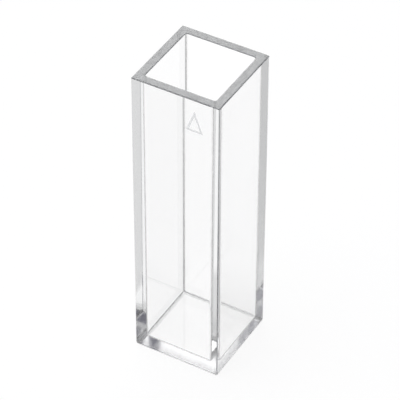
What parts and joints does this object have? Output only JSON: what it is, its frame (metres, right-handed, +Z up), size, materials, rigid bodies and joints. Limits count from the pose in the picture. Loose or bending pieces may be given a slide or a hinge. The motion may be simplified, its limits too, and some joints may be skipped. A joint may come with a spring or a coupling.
{
  "type": "cuvette",
  "caption": "Tall square clear glass cell with thin flat walls, a thick closed base and an open flat rim; holds a liquid sample in a light beam.",
  "frame": {"origin": "middle of the foot, on the surface that the cuvette stands on", "axes": "+Z up from the foot to the open rim, X along the light path from window to window, Y across it"},
  "size_m": [0.0126, 0.0126, 0.045],
  "materials": {
    "clear_glass": "clear polished walls, with a ground rim and foot"
  },
  "bodies": {
    "root": {"cell_body": "clear_glass"}
  },
  "joints": []
}
